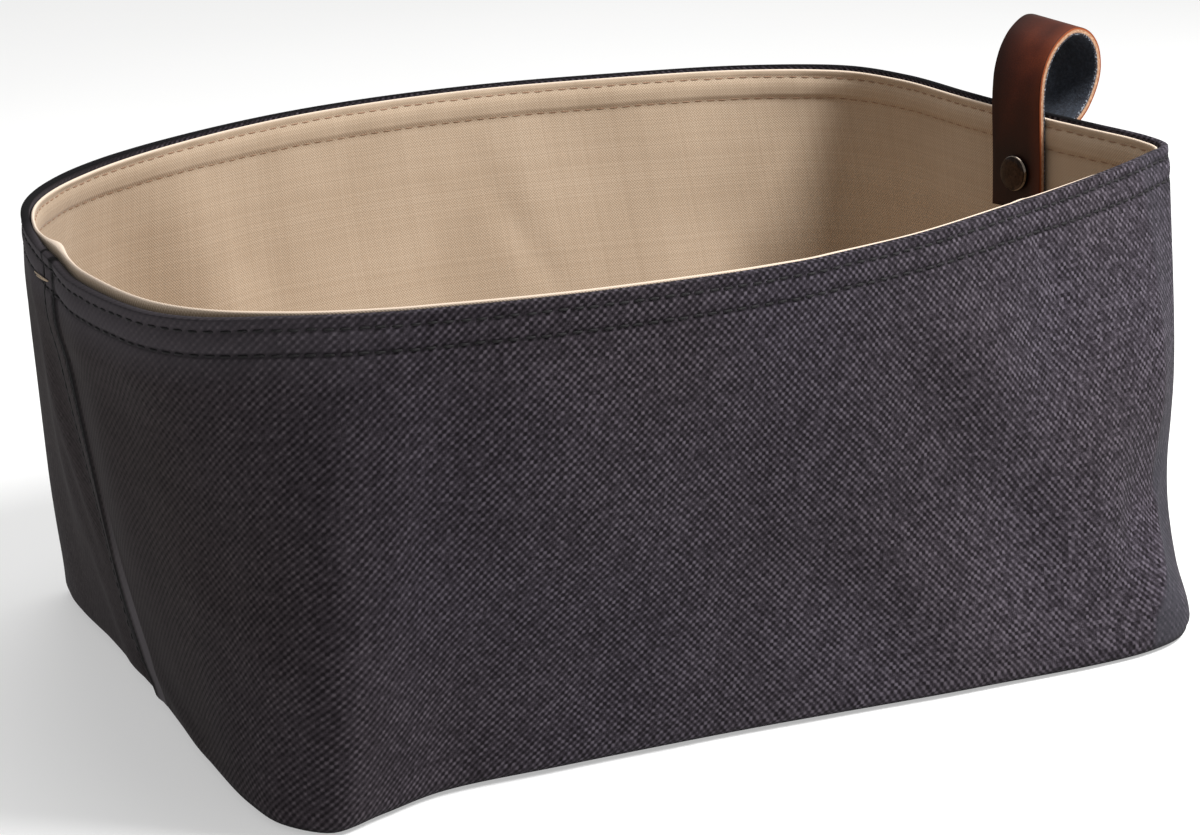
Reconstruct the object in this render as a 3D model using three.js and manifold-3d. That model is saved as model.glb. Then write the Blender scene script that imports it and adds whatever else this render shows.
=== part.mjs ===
// A soft storage bag that stands by itself: one twill cloth with a boxed bottom,
// a cotton lining inside it, and a leather loop riveted over the rim of the right end.
// Millimetres, +Z up. X runs along the bag with the loop at +X, the front wall faces -Y,
// and the origin is on the surface under the middle of the bottom.

import * as THREE from "three";
import { mergeVertices } from "three/addons/utils/BufferGeometryUtils.js";
import Module from "manifold-3d";

const wasm = await Module();
wasm.setup();

// Driving dimensions
const RIM_HEIGHT = 146;
const CLOTH = 1.5;
const LINING = 1.0;
const PIECE_GAP = 0.3;
// More than that where the lining turns a corner and where the straight strap bridges the
// bulge of the wall
const LINING_GAP = 0.55;
const STRAP_GAP = 0.65;

// The hem is the cloth turned in along the rim, so the cloth is thicker there
const HEM = { depth: 13, extra: 0.9, blend: 4 };

// The side seams are lapped: a flat ridge down the middle of each end, which rises out of
// the cloth over ease above the height from and sinks back into it below the rim
const SIDE_SEAM = { width: 11, height: 0.8, edge: 2, from: 12, ease: 8, underRim: 6 };

// The bottom edges turn up on a radius, tight along the sewn ends and soft along the folds
const EDGE_RADIUS = { end: 5, fold: 6 };

// The leather strap and its rivet; the strap leans from the wall's own upright towards
// the front, and its far edge loops a little higher than its near edge
const LEATHER = { thickness: 2.8, width: 22, insideLeg: 32, outsideLeg: 32, lean: 4, skew: 0.1 };
const RIVET = { capRadius: 6, capHeight: 2, post: 1.6, postBeyond: 0.8, hole: 1.9, below: 20.5 };

// The walls' folds fade out over these heights above the bottom and below the rim
const FOLD_EASE = { foot: 18, rim: 30 };

// How far an end wall reaches to each side of its seam, and the blend beyond that, as
// shares of the way round
const END_WALL = { reach: 0.07, blend: 0.05 };

// Bottom outline on the surface, from the left side seam along the front to the right
// side seam, and back along the rear wall. The near left corner is pushed out.
const BOTTOM = [
  { at: "left seam", x: -151, y: 0 },
  { at: "left end", x: -152.5, y: -45 },
  { at: "near left corner, end side", x: -152, y: -86 },
  { at: "near left corner, turn", x: -148, y: -104 },
  { at: "near left corner, tip", x: -136.5, y: -115 },
  { at: "near left corner, front side", x: -119, y: -109.5 },
  { at: "front beside the corner", x: -98, y: -102.5 },
  { at: "front left", x: -60, y: -101 },
  { at: "front middle", x: 0, y: -100.3 },
  { at: "front right", x: 75, y: -102 },
  { at: "near right corner, front side", x: 138, y: -100 },
  { at: "near right corner, turn", x: 158, y: -91 },
  { at: "near right corner, end side", x: 167, y: -74 },
  { at: "right end", x: 164, y: -40 },
  { at: "right seam", x: 160, y: -3 },
  { at: "right end, rear", x: 160, y: 50 },
  { at: "far right corner, end side", x: 160, y: 80 },
  { at: "far right corner, turn", x: 154, y: 95 },
  { at: "far right corner, rear side", x: 138, y: 99 },
  { at: "rear right", x: 70, y: 97 },
  { at: "rear middle", x: 0, y: 98 },
  { at: "rear left", x: -70, y: 97 },
  { at: "far left corner, rear side", x: -133, y: 101 },
  { at: "far left corner, turn", x: -148.5, y: 97.5 },
  { at: "far left corner, end side", x: -152, y: 83 },
  { at: "left end, rear", x: -150.5, y: 40 },
];

// Rim outline: the mouth is pulled into a skewed oval with one folded corner
const RIM = [
  { at: "left seam", x: -180.5, y: -14 },
  { at: "left end", x: -180, y: -42 },
  { at: "left turn", x: -173, y: -74 },
  { at: "near left, rounded", x: -158, y: -94 },
  { at: "front left", x: -130, y: -106.5 },
  { at: "front, widest", x: -85, y: -115 },
  { at: "front", x: -30, y: -115 },
  { at: "front middle", x: 25, y: -108.5 },
  { at: "front right", x: 75, y: -93 },
  { at: "front, near the corner", x: 125, y: -70.5 },
  { at: "folded corner, front side", x: 163, y: -49.5 },
  { at: "folded corner, turn", x: 174, y: -42 },
  { at: "folded corner, end side", x: 175, y: -31 },
  { at: "right end", x: 169.5, y: -8 },
  { at: "right seam", x: 162.4, y: 19.5 },
  { at: "right end, rear", x: 157, y: 48 },
  { at: "far right corner", x: 152, y: 82 },
  { at: "far right corner, turn", x: 141, y: 104 },
  { at: "rear right", x: 110, y: 119 },
  { at: "rear, right of the middle", x: 60, y: 127 },
  { at: "rear middle", x: 0, y: 129 },
  { at: "rear left", x: -60, y: 119 },
  { at: "far left, rounded", x: -118, y: 94 },
  { at: "far left turn", x: -150, y: 70 },
  { at: "left end, far", x: -170, y: 43 },
  { at: "left end, rear", x: -179, y: 14 },
];

// How far the wall stands out of the straight line from bottom to rim, half way up,
// by place: a share of the way round, 0 at the left seam and 0.5 at the right seam
const BELLY = [
  { at: "left seam", place: 0.0, out: 2 },
  { at: "near left corner", place: 0.1, out: 1 },
  { at: "front left", place: 0.2, out: 3 },
  { at: "front middle", place: 0.27, out: 2 },
  { at: "front right", place: 0.37, out: 1 },
  { at: "near right corner", place: 0.43, out: 2.5 },
  { at: "right seam", place: 0.5, out: 1 },
  { at: "far right corner", place: 0.59, out: 0 },
  { at: "rear middle", place: 0.75, out: 3 },
  { at: "far left corner", place: 0.92, out: 5.5 },
];

// How far the rim hangs below its full height, by place
const RIM_DIP = [
  { at: "left seam", place: 0.0, down: 2.6 },
  { at: "left end, front", place: 0.022, down: 4.0 },
  { at: "near left corner", place: 0.062, down: 3.6 },
  { at: "front left", place: 0.105, down: 1.6 },
  { at: "front middle", place: 0.24, down: 1.9 },
  { at: "front right", place: 0.29, down: 1.4 },
  { at: "front, near the corner", place: 0.345, down: 0 },
  { at: "left end, rear", place: 0.965, down: 0 },
];

// How far the lining's edge stands over the cloth's rim, by place; round the right end
// and the back it lies under the rim
const LINING_LIP = [
  { at: "left seam", place: 0.0, over: 1.6 },
  { at: "left end, front", place: 0.02, over: 2.3 },
  { at: "near left corner", place: 0.065, over: 2.0 },
  { at: "front left", place: 0.11, over: 0.7 },
  { at: "front middle", place: 0.2, over: 0.2 },
  { at: "front right", place: 0.29, over: -0.3 },
  { at: "near the folded corner", place: 0.385, over: -0.3 },
  { at: "folded corner", place: 0.42, over: -1.3 },
  { at: "left end, rear", place: 0.965, over: -1.3 },
];

// Main folds of the walls, as soft troughs and ridges: the place of the middle, its
// height up the wall, the half length and half width, the lean of its length from
// upright towards the right, and how far it pushes the wall out (troughs are negative)
const FOLDS = [
  { at: "near right corner, drawn in", place: 0.412, up: 42, long: 26, wide: 24, lean: 0, out: -9 },
  { at: "near right, ridge from the hem", place: 0.332, up: 96, long: 42, wide: 14, lean: -44, out: 3.2 },
  { at: "near right, trough below it", place: 0.337, up: 52, long: 36, wide: 11, lean: -38, out: -2.2 },
  { at: "near right, foot", place: 0.398, up: 12, long: 16, wide: 26, lean: 60, out: 2.5 },
  { at: "front right, low ridge", place: 0.306, up: 38, long: 38, wide: 12, lean: -44, out: 2.4 },
  { at: "front, low ripple", place: 0.24, up: 42, long: 55, wide: 16, lean: 65, out: -1.4 },
  { at: "front left, ridge by the corner", place: 0.16, up: 85, long: 55, wide: 16, lean: 14, out: 2.6 },
  { at: "front left, swell under the hem", place: 0.195, up: 100, long: 40, wide: 26, lean: 0, out: 2.4 },
  { at: "near left corner, ridge", place: 0.12, up: 50, long: 55, wide: 13, lean: -4, out: 1.3 },
  { at: "near left, beside the ridge", place: 0.085, up: 62, long: 45, wide: 13, lean: -6, out: -1.6 },
  { at: "left end, far panel crease", place: 0.973, up: 85, long: 40, wide: 8, lean: 12, out: 1.4 },
  { at: "left end, far panel trough", place: 0.985, up: 60, long: 40, wide: 10, lean: 8, out: -0.8 },
  { at: "rear, right fold", place: 0.67, up: 70, long: 50, wide: 18, lean: -15, out: -2.5 },
  { at: "rear, left fold", place: 0.83, up: 60, long: 55, wide: 16, lean: 18, out: -2.5 },
  { at: "far right corner, drawn in", place: 0.585, up: 45, long: 26, wide: 20, lean: 0, out: -3 },
];

// Columns stand closer at the corners: the place, how much closer and over what share
const COLUMN_COUNT = 74;
const CLOSER = [
  { at: "near left corner", place: 0.105, times: 2.2, over: 0.025 },
  { at: "near right corner", place: 0.395, times: 2.2, over: 0.025 },
  { at: "folded corner of the rim", place: 0.433, times: 2.2, over: 0.014 },
  { at: "far right corner", place: 0.587, times: 1.8, over: 0.025 },
  { at: "far left corner", place: 0.908, times: 1.8, over: 0.025 },
];

// Rows: shares of the way from the middle of the bottom to where its edge starts to
// turn up, shares of that turn, and heights up the wall
const BOTTOM_ROWS = [0, 0.5, 0.85];
const TURN_ROWS = [0, 0.33, 0.67, 1];
const WALL_ROWS = [20, 34, 50, 68, 86, 104, 120, 130, 134, 140, 146];

// The loop's outer face seen from its side: n is how far it stands out of the wall's
// outer face, h is the height over the rim
const LOOP_FACE = [
  { n: -7.5, h: 0 },
  { n: -7.3, h: 7 },
  { n: -6.4, h: 13 },
  { n: -3.6, h: 19.6 },
  { n: 1.2, h: 25 },
  { n: 8, h: 28.3 },
  { n: 15, h: 26.8 },
  { n: 19.8, h: 21.5 },
  { n: 21.3, h: 14 },
  { n: 19.8, h: 7 },
  { n: 15.6, h: -0.5 },
  { n: 9.6, h: -6.2 },
  { n: 5.4, h: -10.6 },
  { n: 4.3, h: -14 },
];
const LOOP_STEPS = 68;

const mix = (a, b, t) => a + (b - a) * t;
const smooth = (t) => {
  const c = THREE.MathUtils.clamp(t, 0, 1);
  return c * c * (3 - 2 * c);
};

// A closed outline as two rows of places by length: the front half runs from the left
// seam to the right seam, the rear half runs on back to the left seam
function outline(stations) {
  const curve = new THREE.CatmullRomCurve3(
    stations.map((s) => new THREE.Vector3(s.x, s.y, 0)), true, "centripetal");
  const seam = stations.findIndex((s) => s.at === "right seam") / stations.length;
  const halves = [[0, seam], [seam, 1]].map(([from, to]) => {
    const steps = 600;
    const points = [];
    for (let i = 0; i <= steps; i += 1) {
      points.push(curve.getPoint(mix(from, to, i / steps)));
    }
    const lengths = [0];
    for (let i = 1; i <= steps; i += 1) {
      lengths.push(lengths[i - 1] + points[i].distanceTo(points[i - 1]));
    }
    return { points, lengths };
  });
  return (place) => {
    const turn = ((place % 1) + 1) % 1;
    const half = turn < 0.5 ? halves[0] : halves[1];
    const share = turn < 0.5 ? turn * 2 : turn * 2 - 1;
    const target = share * half.lengths[half.lengths.length - 1];
    let i = 1;
    while (i < half.lengths.length - 1 && half.lengths[i] < target) {
      i += 1;
    }
    const t = (target - half.lengths[i - 1]) / (half.lengths[i] - half.lengths[i - 1]);
    return half.points[i - 1].clone().lerp(half.points[i], t);
  };
}

const bottomAt = outline(BOTTOM);
const rimAt = outline(RIM);

// A value from a table of places, eased between its rows and running on round the bag
function valueAt(table, key, place) {
  const turn = ((place % 1) + 1) % 1;
  const next = table.findIndex((row) => row.place > turn);
  const after = next < 0 ? { ...table[0], place: 1 } : table[next];
  const before = next < 0 ? table[table.length - 1] : table[next - 1];
  const t = (turn - before.place) / (after.place - before.place);
  return mix(before[key], after[key], smooth(t));
}

// Length of cloth round the bag, for turning a share of the way round into millimetres
const GIRTH = 990;

function foldsAt(place, up) {
  let out = 0;
  for (const fold of FOLDS) {
    let turn = place - fold.place;
    turn -= Math.round(turn);
    const across = turn * GIRTH;
    const rise = up - fold.up;
    const lean = THREE.MathUtils.degToRad(fold.lean);
    const along = rise * Math.cos(lean) + across * Math.sin(lean);
    const aside = across * Math.cos(lean) - rise * Math.sin(lean);
    out += fold.out * Math.exp(-((along / fold.long) ** 2) - (aside / fold.wide) ** 2);
  }
  return out;
}

// 1 at the middle of an end wall, 0 along the front and rear
function endShare(place) {
  const turn = ((place % 1) + 1) % 1;
  const away = Math.min(Math.abs(turn - 0.5), turn, 1 - turn);
  return 1 - smooth((away - END_WALL.reach) / END_WALL.blend);
}

// Distance in millimetres from the nearest side seam
function seamDistance(place) {
  const turn = ((place % 1) + 1) % 1;
  return Math.min(Math.abs(turn - 0.5), turn, 1 - turn) * GIRTH;
}

function edgeRadius(place) {
  return mix(EDGE_RADIUS.fold, EDGE_RADIUS.end, endShare(place));
}

// Direction that points out of the bag at a place of an outline, taken over about 8 mm
function outward(at, place) {
  const step = 4 / GIRTH;
  const along = at(place + step).sub(at(place - step));
  return new THREE.Vector3(along.y, -along.x, 0).normalize();
}

// The cloth's outer face: the bottom, the turn and the wall, without the seam ridge
function bottomPoint(place, share) {
  const edge = bottomAt(place);
  const inset = edge.clone().addScaledVector(outward(bottomAt, place), -edgeRadius(place));
  return inset.multiplyScalar(share);
}

function wallPoint(place, up) {
  const low = bottomAt(place);
  const high = rimAt(place).setZ(RIM_HEIGHT - valueAt(RIM_DIP, "down", place));
  const share = up / RIM_HEIGHT;
  const point = low.clone().lerp(high, share);
  const way = outward(bottomAt, place).lerp(outward(rimAt, place), share).normalize();
  const belly = valueAt(BELLY, "out", place) * Math.sin(Math.PI * share);
  const ends = smooth(up / FOLD_EASE.foot) * smooth((RIM_HEIGHT - up) / FOLD_EASE.rim);
  return point.addScaledVector(way, belly + foldsAt(place, up) * ends);
}

function turnPoint(place, share) {
  const radius = edgeRadius(place);
  const start = bottomPoint(place, 1);
  const corner = bottomAt(place);
  const end = wallPoint(place, radius);
  const curve = new THREE.QuadraticBezierCurve3(start, corner, end);
  return curve.getPoint(share);
}

// Places of the columns, closer together at the corners
function columnPlaces() {
  const steps = 4000;
  const sums = [0];
  for (let i = 1; i <= steps; i += 1) {
    const place = i / steps;
    let density = 1;
    for (const row of CLOSER) {
      density += (row.times - 1) * Math.exp(-(((place - row.place) / row.over) ** 2));
    }
    sums.push(sums[i - 1] + density);
  }
  const places = [];
  let i = 0;
  for (let c = 0; c < COLUMN_COUNT; c += 1) {
    const target = (sums[steps] * c) / COLUMN_COUNT;
    while (sums[i + 1] < target) {
      i += 1;
    }
    places.push((i + (target - sums[i]) / (sums[i + 1] - sums[i])) / steps);
  }
  const atSeams = [0, 0.5].flatMap((seam) => [-1, 0, 1].flatMap((side) => {
    const half = SIDE_SEAM.width / 2;
    const offsets = side === 0 ? [0] : [side * half, side * (half + SIDE_SEAM.edge)];
    return offsets.map((offset) => (seam + offset / GIRTH + 1) % 1);
  }));
  const clear = SIDE_SEAM.width / 2 + SIDE_SEAM.edge + 3;
  const between = places.filter((place) => seamDistance(place) > clear);
  return [...between, ...atSeams].sort((a, b) => a - b);
}

const PLACES = columnPlaces();

// Every row of the outer face from the middle of the bottom to the rim, each with its
// height up the wall (null on the bottom and in the turn)
function faceRows() {
  const rows = [];
  for (const share of BOTTOM_ROWS) {
    rows.push({ up: null, points: PLACES.map((place) => bottomPoint(place, share)) });
  }
  for (const share of TURN_ROWS) {
    rows.push({ up: null, points: PLACES.map((place) => turnPoint(place, share)) });
  }
  for (const up of WALL_ROWS) {
    rows.push({ up, points: PLACES.map((place) => wallPoint(place, up)) });
  }
  return rows;
}

const FACE = faceRows();

// Outward direction at a point of the grid, from its neighbours
function normalAt(row, column) {
  if (row === 0) {
    return new THREE.Vector3(0, 0, -1);
  }
  const count = PLACES.length;
  const points = FACE[row].points;
  const along = points[(column + 1) % count].clone().sub(points[(column + count - 1) % count]);
  const above = FACE[Math.min(row + 1, FACE.length - 1)].points[column];
  const below = FACE[row - 1].points[column];
  return along.cross(above.clone().sub(below)).normalize();
}

const NORMALS = FACE.map((row, r) => row.points.map((point, c) => normalAt(r, c)));

function hemShare(up) {
  return up === null ? 0 : smooth((up - (RIM_HEIGHT - HEM.depth)) / HEM.blend);
}

function seamRidge(place, up) {
  const across = 1 - smooth((seamDistance(place) - SIDE_SEAM.width / 2) / SIDE_SEAM.edge);
  if (up === null) {
    return 0;
  }
  const rise = smooth((up - SIDE_SEAM.from) / SIDE_SEAM.ease);
  const fall = smooth((RIM_HEIGHT - SIDE_SEAM.underRim - up) / SIDE_SEAM.underRim);
  return SIDE_SEAM.height * across * rise * fall;
}

// Rows of points at a depth under the outer face; lift moves the rim row up or down
function layer(depthAt, liftAt) {
  return FACE.map((row, r) => row.points.map((point, c) => {
    const depth = depthAt(PLACES[c], row.up);
    const moved = point.clone().addScaledVector(NORMALS[r][c], -depth);
    if (r === FACE.length - 1) {
      moved.z += liftAt(PLACES[c]);
    }
    return moved;
  }));
}

// A closed shell between an outer and an inner layer, joined over the rim by a rounded row.
// Both layers are split along the same diagonals, so shells inside each other stay parallel.
function shell(outer, inner, crown) {
  const top = outer.length - 1;
  const brow = outer[top].map((point, c) => {
    const middle = point.clone().lerp(inner[top][c], 0.5);
    middle.z += crown;
    return middle;
  });
  const rows = [...outer, brow, ...inner.slice().reverse()];
  const positions = [];
  const firsts = [];
  rows.forEach((row, r) => {
    firsts.push(positions.length / 3);
    const single = r === 0 || r === rows.length - 1;
    for (const point of single ? row.slice(0, 1) : row) {
      positions.push(point.x, point.y, point.z);
    }
  });
  const count = PLACES.length;
  const faces = [];
  for (let r = 0; r < rows.length - 1; r += 1) {
    for (let c = 0; c < count; c += 1) {
      const d = (c + 1) % count;
      const low = firsts[r];
      const high = firsts[r + 1];
      if (r === 0) {
        faces.push(low, high + d, high + c);
      } else if (r === rows.length - 2) {
        faces.push(low + c, low + d, high);
      } else if (r < outer.length) {
        faces.push(low + c, low + d, high + c);
        faces.push(low + d, high + d, high + c);
      } else {
        faces.push(low + c, low + d, high + d);
        faces.push(low + c, high + d, high + c);
      }
    }
  }
  const geometry = new THREE.BufferGeometry();
  geometry.setAttribute("position", new THREE.Float32BufferAttribute(positions, 3));
  geometry.setIndex(faces);
  return geometry;
}

function solidOf(geometry) {
  const plain = geometry.clone();
  plain.deleteAttribute("normal");
  plain.deleteAttribute("uv");
  const merged = mergeVertices(plain, 1e-4);
  return new wasm.Manifold(new wasm.Mesh({
    numProp: 3,
    vertProperties: new Float32Array(merged.attributes.position.array),
    triVerts: new Uint32Array(merged.index.array),
  }));
}

function geometryOf(solid) {
  const mesh = solid.getMesh();
  const geometry = new THREE.BufferGeometry();
  geometry.setAttribute("position", new THREE.Float32BufferAttribute(mesh.vertProperties, 3));
  geometry.setIndex(Array.from(mesh.triVerts));
  return geometry;
}

// The loop's own frame: the middle of its seat on the rim, out of the wall, along the
// rim and up the wall
function loopFrame() {
  const seat = rimAt(0.5).setZ(RIM_HEIGHT);
  const wall = seat.clone().sub(wallPoint(0.5, RIM_HEIGHT - 40)).normalize();
  const half = LEATHER.width / 2 / GIRTH;
  const rim = rimAt(0.5 + half).sub(rimAt(0.5 - half)).normalize();
  const out = rim.clone().cross(wall).normalize();
  const up = wall.applyAxisAngle(out, THREE.MathUtils.degToRad(LEATHER.lean));
  return { seat, up, out, along: up.clone().cross(out) };
}

const LOOP = loopFrame();

function loopMatrix() {
  return new THREE.Matrix4().makeBasis(LOOP.out, LOOP.up, LOOP.along.clone().negate())
    .setPosition(LOOP.seat);
}

// Depth of all the cloth at the rim, under the outer face
const HEM_STACK = CLOTH + HEM.extra + LINING_GAP + LINING;

// The strap's outer face in the plane of out and up, from its inside end to its
// outside end
function strapFace() {
  const inside = -(HEM_STACK + PIECE_GAP + LEATHER.thickness);
  const outside = SIDE_SEAM.height + STRAP_GAP + LEATHER.thickness;
  const points = [
    new THREE.Vector2(inside, -LEATHER.insideLeg),
    new THREE.Vector2(inside, -LEATHER.insideLeg / 2),
    ...LOOP_FACE.map((row) => new THREE.Vector2(row.n, row.h)),
    new THREE.Vector2(outside, -RIVET.below),
    new THREE.Vector2(outside, -LEATHER.outsideLeg),
  ];
  return new THREE.SplineCurve(points).getPoints(LOOP_STEPS);
}

function strapGeometry() {
  const face = strapFace();
  const back = face.map((point, i) => {
    const before = face[Math.max(i - 1, 0)];
    const after = face[Math.min(i + 1, face.length - 1)];
    const way = after.clone().sub(before).normalize();
    return new THREE.Vector2(point.x + way.y * LEATHER.thickness, point.y - way.x * LEATHER.thickness);
  });
  const shape = new THREE.Shape([...face, ...back.reverse()]);
  const geometry = new THREE.ExtrudeGeometry(shape, {
    depth: LEATHER.width, bevelEnabled: false, steps: 1, curveSegments: 1,
  });
  geometry.translate(0, 0, -LEATHER.width / 2);
  const position = geometry.attributes.position;
  for (let i = 0; i < position.count; i += 1) {
    const height = position.getY(i);
    const far = -position.getZ(i) / LEATHER.width;
    position.setY(i, height > 0 ? height * (1 + LEATHER.skew * far) : height);
  }
  geometry.applyMatrix4(loopMatrix());
  return geometry;
}

// A turned piece whose axis points out of the wall, placed at the rivet
function turned(profile) {
  const points = profile.map(([radius, n]) => new THREE.Vector2(radius, n));
  const geometry = new THREE.LatheGeometry(points, 24);
  geometry.rotateZ(-Math.PI / 2);
  geometry.translate(0, -RIVET.below, 0);
  geometry.applyMatrix4(loopMatrix());
  return geometry;
}

const INSIDE_FACE = -(HEM_STACK + 2 * PIECE_GAP + LEATHER.thickness);
const OUTSIDE_FACE = SIDE_SEAM.height + STRAP_GAP + LEATHER.thickness + PIECE_GAP;

// A cap's dome from its rim to its middle; side is 1 out of the wall and -1 into the bag
function dome(face, side) {
  const { capRadius, capHeight } = RIVET;
  return [
    [capRadius - 0.2, face],
    [capRadius, face + side * 0.3],
    [capRadius * 0.98, face + side * capHeight * 0.45],
    [capRadius * 0.88, face + side * capHeight * 0.72],
    [capRadius * 0.6, face + side * capHeight * 0.92],
    [0, face + side * capHeight],
  ];
}

// Domed cap inside the bag with the post that passes through the layers
function rivetPost() {
  const end = OUTSIDE_FACE + RIVET.postBeyond;
  return turned([
    ...dome(INSIDE_FACE, -1).reverse(),
    [RIVET.post, INSIDE_FACE],
    [RIVET.post, end],
    [0, end],
  ]);
}

// Domed cap outside the bag, hollow over the end of the post
function rivetCap() {
  const hollow = OUTSIDE_FACE + RIVET.postBeyond + PIECE_GAP;
  return turned([
    [0, hollow],
    [RIVET.post + PIECE_GAP, hollow],
    [RIVET.post + PIECE_GAP, OUTSIDE_FACE],
    ...dome(OUTSIDE_FACE, 1),
  ]);
}

// Round bore along the rivet, through every layer and past them
function rivetBore() {
  const past = 10;
  return solidOf(turned([
    [0, INSIDE_FACE - past],
    [RIVET.hole, INSIDE_FACE - past],
    [RIVET.hole, OUTSIDE_FACE + past],
    [0, OUTSIDE_FACE + past],
  ]));
}

function clothGeometry() {
  const outer = layer((place, up) => -seamRidge(place, up), () => 0);
  const inner = layer((place, up) => CLOTH + HEM.extra * hemShare(up), () => 0);
  return shell(outer, inner, 0.4);
}

function liningGeometry() {
  const depth = (place, up) => CLOTH + HEM.extra * hemShare(up) + LINING_GAP;
  const lift = (place) => valueAt(LINING_LIP, "over", place);
  const outer = layer(depth, lift);
  const inner = layer((place, up) => depth(place, up) + LINING, lift);
  return shell(outer, inner, 0.3);
}

function piece(name, geometry, colour, roughness, metalness) {
  geometry.computeVertexNormals();
  const material = new THREE.MeshStandardMaterial({ color: colour, roughness, metalness });
  const mesh = new THREE.Mesh(geometry, material);
  mesh.name = name;
  return mesh;
}

const bore = rivetBore();
const bored = (geometry) => geometryOf(solidOf(geometry).subtract(bore));

const bag = new THREE.Group();
bag.add(
  piece("outer_cloth", bored(clothGeometry()), 0x37333a, 0.92, 0),
  piece("lining", bored(liningGeometry()), 0xc4b09a, 0.9, 0),
  piece("leather_loop", bored(strapGeometry()), 0x4a241a, 0.5, 0),
  piece("rivet_post", rivetPost(), 0x2a2422, 0.35, 0.9),
  piece("rivet_cap", rivetCap(), 0x2a2422, 0.35, 0.9),
);

export default bag;
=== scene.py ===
"""A soft storage bag standing open: canvas with a boxed bottom, a cotton lining, a stitched
hem and side seams, and a leather loop riveted over the rim of the right end.

Sizes are in millimetres and become metres where a mesh is made. X runs along the bag with
the loop at +X, the front wall faces -Y, and the origin is on the floor under the bottom.
"""
import bpy
import math
import random
import numpy as np
from mathutils import Matrix, Vector


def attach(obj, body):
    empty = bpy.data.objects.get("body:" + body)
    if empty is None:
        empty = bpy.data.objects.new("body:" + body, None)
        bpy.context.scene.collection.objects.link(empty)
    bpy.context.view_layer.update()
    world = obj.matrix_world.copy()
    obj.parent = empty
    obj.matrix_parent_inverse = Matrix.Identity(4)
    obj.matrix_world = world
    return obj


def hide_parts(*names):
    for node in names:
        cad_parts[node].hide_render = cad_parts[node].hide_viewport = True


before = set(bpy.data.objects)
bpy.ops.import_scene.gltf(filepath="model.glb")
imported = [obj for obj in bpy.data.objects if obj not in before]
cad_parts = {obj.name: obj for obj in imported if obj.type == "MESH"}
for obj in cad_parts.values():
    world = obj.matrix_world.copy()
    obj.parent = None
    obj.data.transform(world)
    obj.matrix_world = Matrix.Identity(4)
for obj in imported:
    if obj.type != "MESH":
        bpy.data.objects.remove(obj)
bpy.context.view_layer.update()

MM = 0.001


def named_rows(columns, rows):
    """The rows of a table as dicts under its columns' names."""
    return [dict(zip(columns.split(), row)) for row in rows]


# Sizes of the bag
RIM_HEIGHT = 146
CLOTH = 1.5
LINING = 1.0
HEM = dict(depth=13, extra=0.9, blend=4)
SIDE_SEAM = dict(width=11, height=0.8, edge=1.5, start=12, ease=8, under_rim=6)
EDGE_RADIUS = dict(end=5, fold=6)
FOLD_EASE = dict(foot=18, rim=30)
END_WALL = dict(reach=0.07, blend=0.05)
GIRTH = 990

# The hem's zone, from the rim down, and the turn at the foot, along the cloth
HEM_ZONE = 14
TURN_LENGTH = 8

# Clearances between pieces, wider where the lining turns a corner and where the straight
# strap bridges the bulge of the wall
PIECE_GAP = 0.3
LINING_GAP = 0.55
STRAP_GAP = 0.65

# Sizes of the leather loop and its rivet
LEATHER = dict(thickness=2.8, width=22, inside_leg=32, outside_leg=32, lean=4, skew=0.1)
SOFT_ARRIS = 0.45
RIVET = dict(radius=6, height=2, post=1.6, post_beyond=0.8, below=20.5)

# Sewing: the hem has two rows under the rim, each side seam two upright rows
HEM_ROWS = [3.3, 10.0]
LINING_ROWS = [3.6, 11.0]
SEAM_ROWS = [-4.6, 3.3]
SEAM_SHADE = [dict(aside=-4.6, half=1.1), dict(aside=4.4, half=2.7)]
SEAM_SWING = dict(heights=(10.0, 52.0), aside=4.5)
HEM_SHADE = dict(half=1.1, strength=0.42)
ROW_WIDTH = 0.9
DRAWN_IN = dict(hem=0.35, seam=0.4, lining_hem=0.3, lining_seam=0.55)

# The cloth is pinched in where the foot of each end wall turns under, at this level
FOOT_GROOVE = dict(depth=0.7, level=-0.3, width=0.16)
STITCH = dict(pitch=4.5, length=3.4, radius=0.38)
LINING_STITCH_RADII = [0.2, 0.16]

# Bottom outline on the floor, from the left side seam along the front and back round
BOTTOM = named_rows("at x y", [
    ("left seam", -151, 0),
    ("left end", -152.5, -45),
    ("near left corner, end side", -152, -86),
    ("near left corner, turn", -148, -104),
    ("near left corner, tip", -136.5, -115),
    ("near left corner, front side", -119, -109.5),
    ("front beside the corner", -98, -102.5),
    ("front left", -60, -101),
    ("front middle", 0, -100.3),
    ("front right", 75, -102),
    ("near right corner, front side", 138, -100),
    ("near right corner, turn", 158, -91),
    ("near right corner, end side", 167, -74),
    ("right end", 164, -40),
    ("right seam", 160, -3),
    ("right end, rear", 160, 50),
    ("far right corner, end side", 160, 80),
    ("far right corner, turn", 154, 95),
    ("far right corner, rear side", 138, 99),
    ("rear right", 70, 97),
    ("rear middle", 0, 98),
    ("rear left", -70, 97),
    ("far left corner, rear side", -133, 101),
    ("far left corner, turn", -148.5, 97.5),
    ("far left corner, end side", -152, 83),
    ("left end, rear", -150.5, 40),
])

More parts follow.
